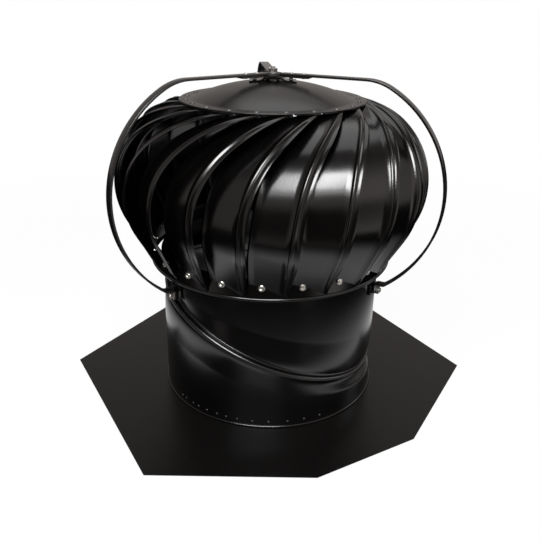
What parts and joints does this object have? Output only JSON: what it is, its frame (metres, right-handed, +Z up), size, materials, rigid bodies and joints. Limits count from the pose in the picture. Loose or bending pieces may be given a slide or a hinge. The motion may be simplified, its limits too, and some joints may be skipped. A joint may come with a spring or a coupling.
{
  "type": "roof turbine ventilator",
  "caption": "Wind-driven roof turbine ventilator: curved-vane head in an outside brace, on an oblique swivel throat with a hexagonal flashing.",
  "frame": {"origin": "on the throat's axis, at the underside of the flashing", "axes": "+Z up along the turbine's axis, -Y towards the front as pictured, +X to the right"},
  "size_m": [0.605, 0.524, 0.4565],
  "materials": {
    "flashing": "satin",
    "throat": "gloss",
    "head_paint": "gloss",
    "frame_paint": "gloss",
    "rivet_paint": "gloss",
    "zinc": "satin",
    "steel": "satin",
    "bushing": "matte"
  },
  "bodies": {
    "base": {"flashing_plate": "flashing", "lower_throat": "throat"},
    "swivel": {"upper_throat": "throat", "brace_arm_1": "frame_paint", "brace_arm_2": "frame_paint", "brace_arm_3": "frame_paint", "brace_bracket_1": "frame_paint", "brace_bracket_2": "frame_paint", "brace_bracket_3": "frame_paint", "brace_bolts": "zinc", "brace_nuts": "zinc", "hub_spider": "frame_paint", "hub_rivets": "zinc", "upper_bearing": "bushing", "lower_spider": "frame_paint", "lower_bearing": "bushing"},
    "turbine_head": {"dome_cap": "head_paint", "dome_rivets": "rivet_paint", "bottom_ring": "head_paint", "ring_screws": "zinc", "hat_bracket": "frame_paint", "hat_rivets": "frame_paint", "rotor_shaft": "steel", "shaft_nut": "zinc", "head_collar": "steel", "thrust_washer": "steel", "thrust_collar": "steel", "vane_01": "head_paint", "vane_02": "head_paint", "vane_03": "head_paint", "vane_04": "head_paint", "vane_05": "head_paint", "vane_06": "head_paint", "vane_07": "head_paint", "vane_08": "head_paint", "vane_09": "head_paint", "vane_10": "head_paint", "vane_11": "head_paint", "vane_12": "head_paint", "vane_13": "head_paint", "vane_14": "head_paint", "vane_15": "head_paint", "vane_16": "head_paint", "vane_17": "head_paint", "vane_18": "head_paint", "vane_19": "head_paint", "vane_20": "head_paint", "vane_21": "head_paint"}
  },
  "joints": [
    {"name": "throat_swivel", "type": "hinge", "parent": "base", "child": "swivel", "pos_m": [0, 0, 0.108], "axis": [0.3769, -0.0665, 0.9239], "range_deg": [-180, 180]},
    {"name": "turbine_spin", "type": "hinge", "parent": "swivel", "child": "turbine_head", "pos_m": [0, 0, 0.3], "axis": [0, 0, 1], "continuous": true}
  ]
}
